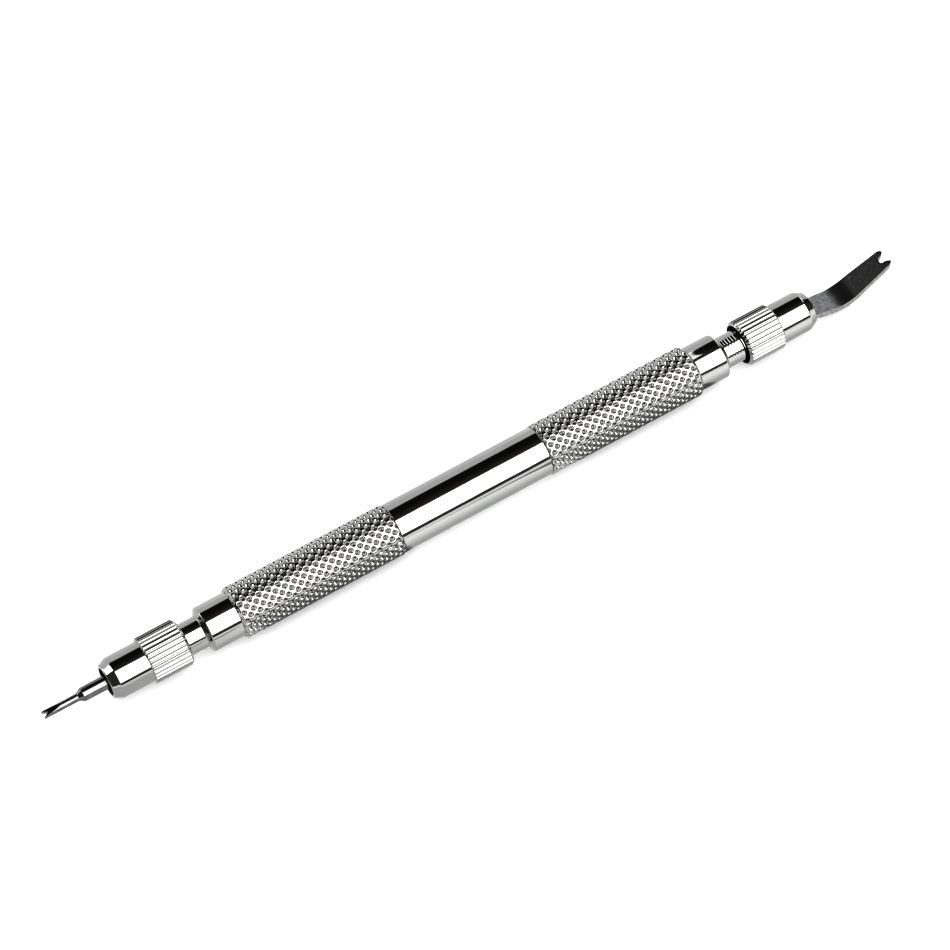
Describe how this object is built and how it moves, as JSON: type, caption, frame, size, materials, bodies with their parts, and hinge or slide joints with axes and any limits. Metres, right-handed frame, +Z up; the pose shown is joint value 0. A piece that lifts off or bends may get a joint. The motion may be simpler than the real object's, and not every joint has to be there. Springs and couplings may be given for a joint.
{
  "type": "spring bar tool",
  "caption": "Double-ended watch strap tool: knurled metal handle with a collet chuck at each end, holding a fine forked pin and a bent forked blade.",
  "frame": {"origin": "on the plane the knurled grips rest on, under the middle of the overall length", "axes": "+X along the tool towards the bent blade, +Z up, away from the surface it lies on"},
  "size_m": [0.1438, 0.0082, 0.008],
  "materials": {
    "nickel_plate": "bright nickel plate over machined metal, mirror-like",
    "collet_steel": "fine turned steel, unplated",
    "tip_steel": "hardened steel, bright on the shank and darker where it is ground or forged"
  },
  "bodies": {
    "handle": {"handle": "nickel_plate"},
    "pin_collet": {"pin_end_collet": "collet_steel"},
    "pin_nut": {"pin_end_nut": "nickel_plate"},
    "pin_tip": {"fork_pin": "tip_steel"},
    "blade_collet": {"blade_end_collet": "collet_steel"},
    "blade_nut": {"blade_end_nut": "nickel_plate"},
    "blade_tip": {"fork_blade": "tip_steel"}
  },
  "joints": [
    {"name": "pin_collet_slide", "type": "slide", "parent": "handle", "child": "pin_collet", "axis": [-1, 0, 0], "range_m": [0, 0.004]},
    {"name": "pin_nut_turn", "type": "hinge", "parent": "pin_collet", "child": "pin_nut", "pos_m": [-0.0525, 0, 0.004], "axis": [-1, 0, 0], "range_deg": [0, 2880]},
    {"name": "pin_tip_slide", "type": "slide", "parent": "pin_collet", "child": "pin_tip", "axis": [-1, 0, 0], "range_m": [0, 0.016]},
    {"name": "blade_collet_slide", "type": "slide", "parent": "handle", "child": "blade_collet", "axis": [1, 0, 0], "range_m": [0, 0.004]},
    {"name": "blade_nut_turn", "type": "hinge", "parent": "blade_collet", "child": "blade_nut", "pos_m": [0.04845, 0, 0.004], "axis": [1, 0, 0], "range_deg": [0, 2880]},
    {"name": "blade_tip_slide", "type": "slide", "parent": "blade_collet", "child": "blade_tip", "axis": [1, 0, 0], "range_m": [0, 0.016]}
  ],
  "couplings": [
    {"joint": "pin_nut_turn", "follows": "pin_collet_slide", "rad_per_m": 12566},
    {"joint": "blade_nut_turn", "follows": "blade_collet_slide", "rad_per_m": 12566}
  ]
}
